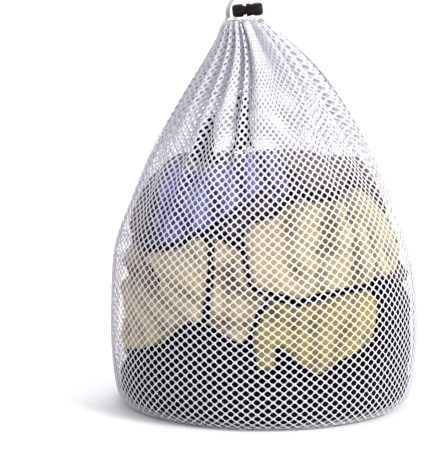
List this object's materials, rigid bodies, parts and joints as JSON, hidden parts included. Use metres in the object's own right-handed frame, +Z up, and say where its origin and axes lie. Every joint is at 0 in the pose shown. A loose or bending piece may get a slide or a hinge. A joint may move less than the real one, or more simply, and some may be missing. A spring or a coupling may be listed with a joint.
{
  "type": "mesh laundry bag",
  "caption": "White drawstring mesh laundry bag standing full of garments, its gathered mouth drawn shut and held by a black spring cord lock.",
  "frame": {"origin": "on the resting plane, at the middle of the box of the bag without its loose drawstring tails", "axes": "+Z up from the base to the gathered mouth, +X to the right along the cord lock, -Y out of the front"},
  "size_m": [0.256, 0.2636, 0.3422],
  "materials": {
    "net": "white knitted polyester mesh with round holes, slight sheen",
    "seam_tape": "white overlocked seam allowance of doubled mesh",
    "hem_tape": "white gathered hem, folded over a drawstring channel",
    "thread": "white polyester sewing thread",
    "cord": "white braided polyester cord",
    "lock_plastic": "black moulded nylon, satin gloss",
    "spring_steel": "bright drawn spring wire",
    "lavender_cloth": "lavender-blue cotton jersey",
    "cream_cloth": "cream cotton",
    "olive_cloth": "yellow-olive cotton",
    "dark_cloth": "black and navy cotton",
    "mauve_cloth": "mauve-brown cotton"
  },
  "bodies": {
    "bag": {"net_panel_front": "net", "net_panel_back": "net", "side_seam_left": "seam_tape", "side_seam_right": "seam_tape", "bottom_seam": "seam_tape", "hem_casing": "hem_tape", "hem_stitching": "thread", "drawstring_loop": "cord", "lavender_garment": "lavender_cloth", "cream_garment_left": "cream_cloth", "cream_garment_middle": "cream_cloth", "cream_garment_right": "cream_cloth", "olive_garment": "olive_cloth", "dark_garments": "dark_cloth", "mauve_garment": "mauve_cloth", "dark_sleeve": "dark_cloth"},
    "cord_lock": {"lock_barrel": "lock_plastic", "lock_spring": "spring_steel", "drawstring_tail_left": "cord", "drawstring_tail_right": "cord", "drawstring_knot": "cord"},
    "button": {"lock_plunger": "lock_plastic"}
  },
  "joints": [
    {"name": "lock_slide", "type": "slide", "parent": "bag", "child": "cord_lock", "axis": [-0.0872, 0, 0.9962], "range_m": [0, 0.02]},
    {"name": "button_press", "type": "slide", "parent": "cord_lock", "child": "button", "axis": [0.9962, 0, 0.0872], "range_m": [0, 0.0021], "stiffness_N_per_m": 500, "springref_m": -0.0025, "deforming": ["lock_spring"]}
  ]
}
